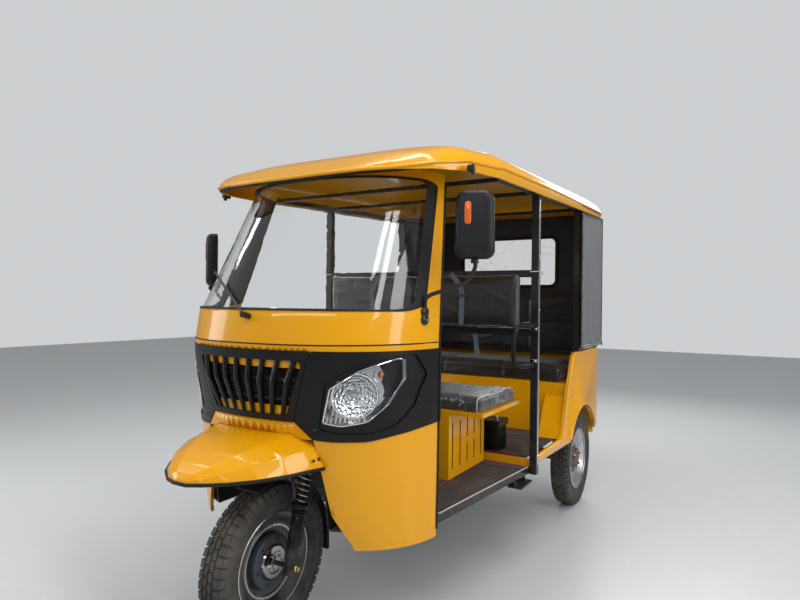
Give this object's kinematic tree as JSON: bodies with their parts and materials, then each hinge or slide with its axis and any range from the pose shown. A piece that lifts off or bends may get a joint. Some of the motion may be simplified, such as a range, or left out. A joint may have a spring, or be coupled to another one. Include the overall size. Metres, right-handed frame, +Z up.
{
  "type": "auto rickshaw",
  "caption": "Three-wheeled passenger rickshaw with an open-sided cab, hard roof, driver's seat, passenger bench and a steered front wheel.",
  "frame": {"origin": "on the ground, at the centre of the vehicle's bounding box", "axes": "+Z up, -Y towards the front of the vehicle, +X towards the vehicle's left side"},
  "size_m": [1.4828, 2.9399, 1.9252],
  "materials": {
    "yellow_paint": "glossy amber yellow enamel",
    "black_paint": "satin black enamel",
    "black_trim": "glossy black moulded panel",
    "grey_plastic": "dark grey moulded plastic",
    "lamp_lens": "clear lamp lens",
    "red_lens": "red lamp lens",
    "clear_glass": "clear safety glass",
    "clear_vinyl": "clear flexible sheet",
    "seal_rubber": "black rubber",
    "floor_rubber": "ribbed dark red floor mat",
    "bright_metal": "bright plated steel",
    "seat_vinyl": "black quilted vinyl",
    "curtain_vinyl": "dark grey coated cloth",
    "cast_metal": "dark cast metal",
    "tyre_rubber": "dusty black tyre",
    "rim_silver": "silver wheel paint"
  },
  "bodies": {
    "body": {"chassis_frame": "black_paint", "front_floor": "floor_rubber", "rear_floor": "floor_rubber", "sills": "black_paint", "front_wheel_housing": "grey_plastic", "cowl_lower": "yellow_paint", "cowl_upper": "yellow_paint", "grille_panel": "black_trim", "lamp_panels": "black_trim", "headlamps": "lamp_lens", "front_mudguard": "yellow_paint", "windscreen": "clear_glass", "windscreen_seal": "seal_rubber", "wiper": "black_paint", "mirrors": "grey_plastic", "dashboard": "grey_plastic", "roof": "yellow_paint", "roof_frame": "black_paint", "pillars": "black_paint", "rear_posts": "black_paint", "driver_backrest": "seat_vinyl", "driver_cushion": "seat_vinyl", "seat_base": "yellow_paint", "battery_box": "grey_plastic", "grab_handles": "bright_metal", "rear_body": "yellow_paint", "bench_base": "yellow_paint", "bench_cushion": "seat_vinyl", "bench_backrest": "seat_vinyl", "rear_wall": "curtain_vinyl", "rear_window": "clear_vinyl", "side_curtains": "curtain_vinyl", "tail_lamps": "red_lens", "rear_bumper": "bright_metal", "rear_axle": "cast_metal", "leaf_springs": "black_paint", "engine_block": "cast_metal"},
    "fork": {"fork": "black_paint", "fork_springs": "bright_metal", "fork_guard": "grey_plastic", "handlebar": "black_paint"},
    "front_wheel": {"front_tyre": "tyre_rubber", "front_rim": "rim_silver"},
    "rear_wheel_left": {"rear_tyre_left": "tyre_rubber", "rear_rim_left": "rim_silver"},
    "rear_wheel_right": {"rear_tyre_right": "tyre_rubber", "rear_rim_right": "rim_silver"}
  },
  "joints": [
    {"name": "steering", "type": "hinge", "parent": "body", "child": "fork", "pos_m": [0, -1.046, 0.281], "axis": [0, 0.2588, 0.9659], "range_deg": [-38, 38]},
    {"name": "front_wheel_spin", "type": "hinge", "parent": "fork", "child": "front_wheel", "pos_m": [0, -1.078, 0.281], "axis": [1, 0, 0], "continuous": true},
    {"name": "rear_left_spin", "type": "hinge", "parent": "body", "child": "rear_wheel_left", "pos_m": [0.556, 1.017, 0.281], "axis": [1, 0, 0], "continuous": true},
    {"name": "rear_right_spin", "type": "hinge", "parent": "body", "child": "rear_wheel_right", "pos_m": [-0.556, 1.017, 0.281], "axis": [1, 0, 0], "continuous": true}
  ]
}
